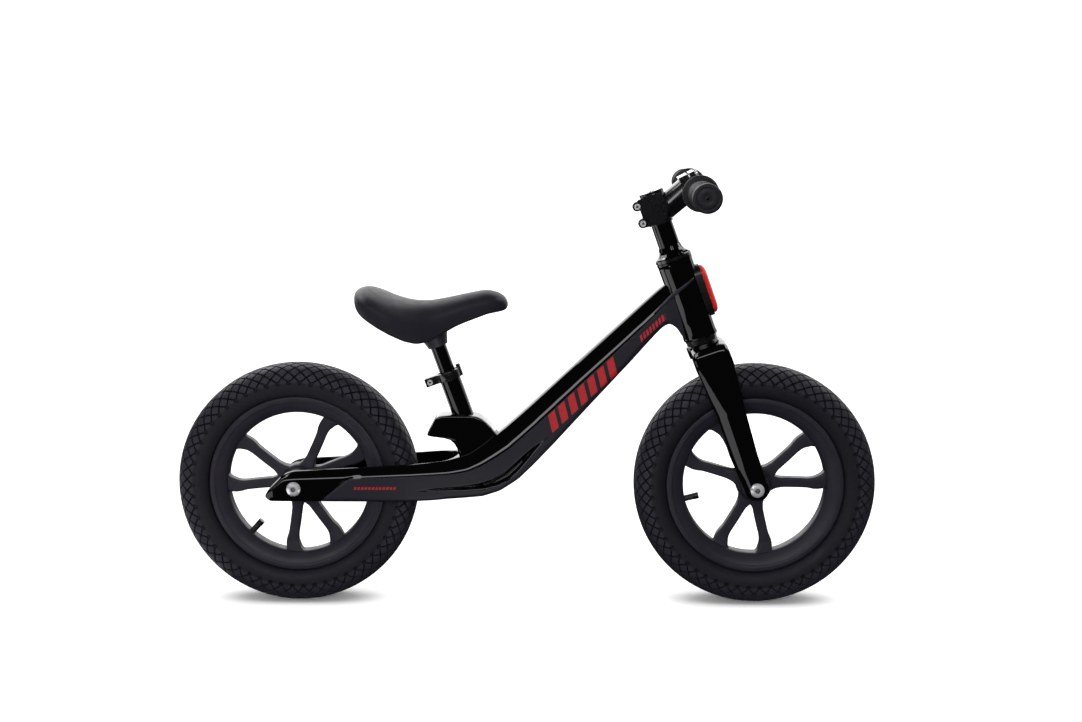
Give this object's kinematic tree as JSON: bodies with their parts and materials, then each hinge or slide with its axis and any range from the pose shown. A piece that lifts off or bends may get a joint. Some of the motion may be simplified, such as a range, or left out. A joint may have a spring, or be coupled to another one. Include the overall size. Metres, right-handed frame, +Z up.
{
  "type": "balance bike",
  "caption": "Child's balance bike: cast frame and fork, cast spoked wheels with air tyres, padded saddle with adjustable height, straight handlebar.",
  "frame": {"origin": "on the ground, midway between the axles, at the bottom centre of the whole bike's box", "axes": "+X forward, +Z up, +Y to the rider's left"},
  "size_m": [0.886, 0.402, 0.5503],
  "materials": {
    "gloss_black_paint": "gloss",
    "satin_black_metal": "satin, black anodised",
    "matte_black_casting": "matte powder coat",
    "tyre_rubber": "matte",
    "tube_rubber": "satin",
    "grip_rubber": "matte",
    "black_plastic": "satin",
    "saddle_skin": "satin, fine grain",
    "red_lens": "gloss, translucent",
    "bright_steel": "zinc plated",
    "bearing_steel": "ground"
  },
  "bodies": {
    "frame": {"frame": "gloss_black_paint", "seat_tube": "satin_black_metal", "seat_clamp": "satin_black_metal", "seat_clamp_bolt": "bright_steel", "upper_headset_bearing": "bearing_steel", "lower_headset_bearing": "bearing_steel", "lower_headset_cup": "satin_black_metal", "badge_housing": "black_plastic", "badge_lens": "red_lens", "rear_bearing_inner_rings": "bearing_steel", "rear_bearing_spacer": "bright_steel", "rear_end_spacers": "bright_steel", "rear_axle": "bright_steel", "rear_axle_bolts": "bright_steel"},
    "saddle": {"seat_post": "satin_black_metal", "saddle_base": "black_plastic", "saddle_pad": "saddle_skin"},
    "fork": {"fork": "gloss_black_paint", "steerer_tube": "satin_black_metal", "crown_race": "satin_black_metal", "headset_seal": "tube_rubber", "headset_cover": "gloss_black_paint", "headset_spacer": "gloss_black_paint", "star_nut": "bright_steel", "top_cap": "satin_black_metal", "top_cap_bolt": "bright_steel", "stem": "satin_black_metal", "stem_faceplate": "satin_black_metal", "stem_pinch_bolts": "bright_steel", "faceplate_bolts": "bright_steel", "front_bearing_inner_rings": "bearing_steel", "front_bearing_spacer": "bright_steel", "front_end_spacers": "bright_steel", "front_axle": "bright_steel", "front_axle_bolts": "bright_steel"},
    "handlebar": {"handlebar": "satin_black_metal", "left_grip": "grip_rubber", "right_grip": "grip_rubber"},
    "front_wheel": {"front_wheel": "matte_black_casting", "front_tyre": "tyre_rubber", "front_inner_tube": "tube_rubber", "front_valve": "tube_rubber", "front_valve_cap": "black_plastic", "front_bearing_outer_rings": "bearing_steel"},
    "rear_wheel": {"rear_wheel": "matte_black_casting", "rear_tyre": "tyre_rubber", "rear_inner_tube": "tube_rubber", "rear_valve": "tube_rubber", "rear_valve_cap": "black_plastic", "rear_bearing_outer_rings": "bearing_steel"}
  },
  "joints": [
    {"name": "steering", "type": "hinge", "parent": "frame", "child": "fork", "pos_m": [0.186, 0, 0.4385], "axis": [-0.3338, 0, 0.9426], "continuous": true},
    {"name": "front_wheel_spin", "type": "hinge", "parent": "fork", "child": "front_wheel", "pos_m": [0.29, 0, 0.153], "axis": [0, 1, 0], "continuous": true},
    {"name": "rear_wheel_spin", "type": "hinge", "parent": "frame", "child": "rear_wheel", "pos_m": [-0.29, 0, 0.153], "axis": [0, 1, 0], "continuous": true},
    {"name": "seat_height", "type": "slide", "parent": "frame", "child": "saddle", "axis": [-0.3338, 0, 0.9426], "range_m": [-0.025, 0.065]},
    {"name": "handlebar_tilt", "type": "hinge", "parent": "fork", "child": "handlebar", "pos_m": [0.211, 0, 0.52607], "axis": [0, 1, 0], "range_deg": [-15, 15]}
  ]
}
